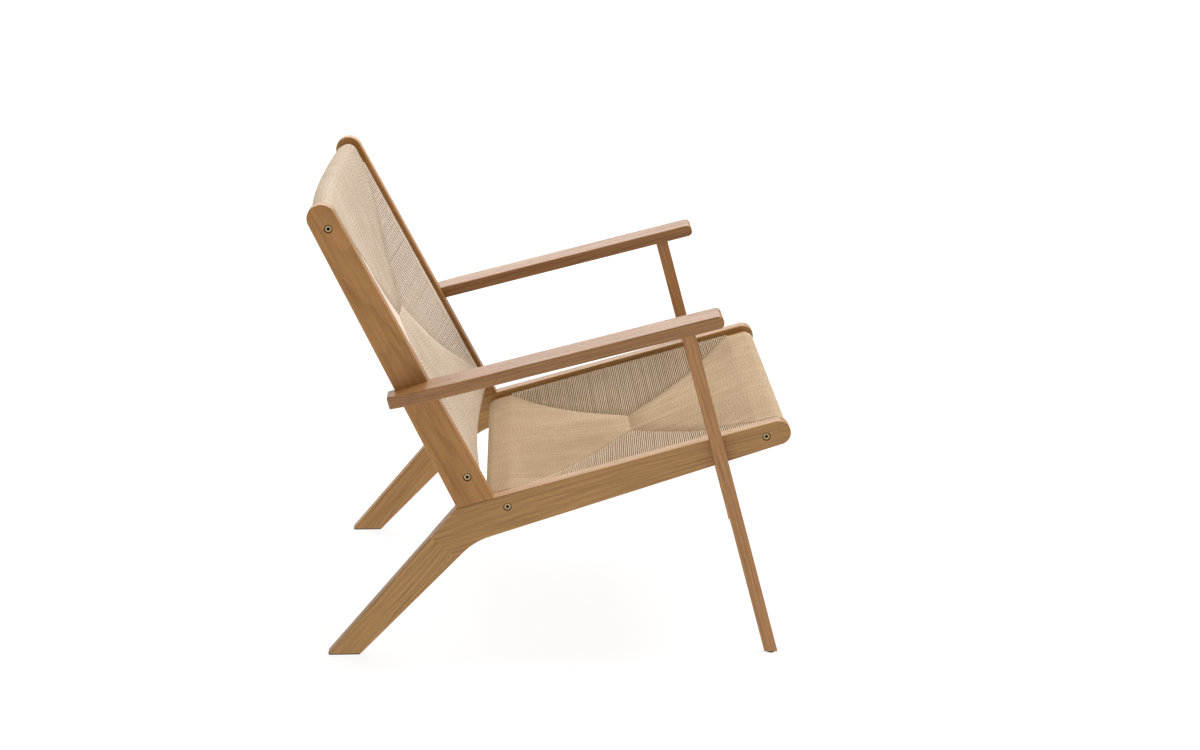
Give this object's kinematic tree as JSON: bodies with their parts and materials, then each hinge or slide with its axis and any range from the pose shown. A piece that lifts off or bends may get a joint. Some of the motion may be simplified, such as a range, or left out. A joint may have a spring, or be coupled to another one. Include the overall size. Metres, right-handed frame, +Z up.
{
  "type": "lounge armchair",
  "caption": "Low lounge armchair with glued wooden side frames, flat sloping armrests, and a seat and a back panel of woven paper cord.",
  "frame": {"origin": "On the floor, below the middle of the chair's bounding box.", "axes": "+Z is up. The front of the chair faces -Y. +X is the sitter's left."},
  "size_m": [0.7, 0.7547, 0.7375],
  "materials": {
    "oak": "oiled, satin",
    "dowel_wood": "raw",
    "paper_cord": "matte twisted cord",
    "bronze_bolt": "dark bronze, satin",
    "steel": "zinc plated",
    "foot_pad": "matte"
  },
  "bodies": {
    "root": {"right_rear_leg": "oak", "right_seat_rail": "oak", "right_back_post": "oak", "right_front_leg": "oak", "right_armrest": "oak", "right_leg_dowels": "dowel_wood", "right_post_dowels": "dowel_wood", "right_arm_dowel": "dowel_wood", "right_arm_screw": "steel", "right_leg_screws": "steel", "right_rear_foot_pad": "foot_pad", "right_front_foot_pad": "foot_pad", "left_rear_leg": "oak", "left_seat_rail": "oak", "left_back_post": "oak", "left_front_leg": "oak", "left_armrest": "oak", "left_leg_dowels": "dowel_wood", "left_post_dowels": "dowel_wood", "left_arm_dowel": "dowel_wood", "left_arm_screw": "steel", "left_leg_screws": "steel", "left_rear_foot_pad": "foot_pad", "left_front_foot_pad": "foot_pad", "seat_front_bar": "oak", "seat_rear_bar": "oak", "seat_right_bar": "oak", "seat_left_bar": "oak", "seat_weave": "paper_cord", "seat_panel_bolts": "bronze_bolt", "seat_bolt_inserts": "steel", "seat_corner_dowels": "dowel_wood", "back_bottom_bar": "oak", "back_top_bar": "oak", "back_right_bar": "oak", "back_left_bar": "oak", "back_weave": "paper_cord", "back_panel_bolts": "bronze_bolt", "back_bolt_inserts": "steel", "back_corner_dowels": "dowel_wood"}
  },
  "joints": []
}
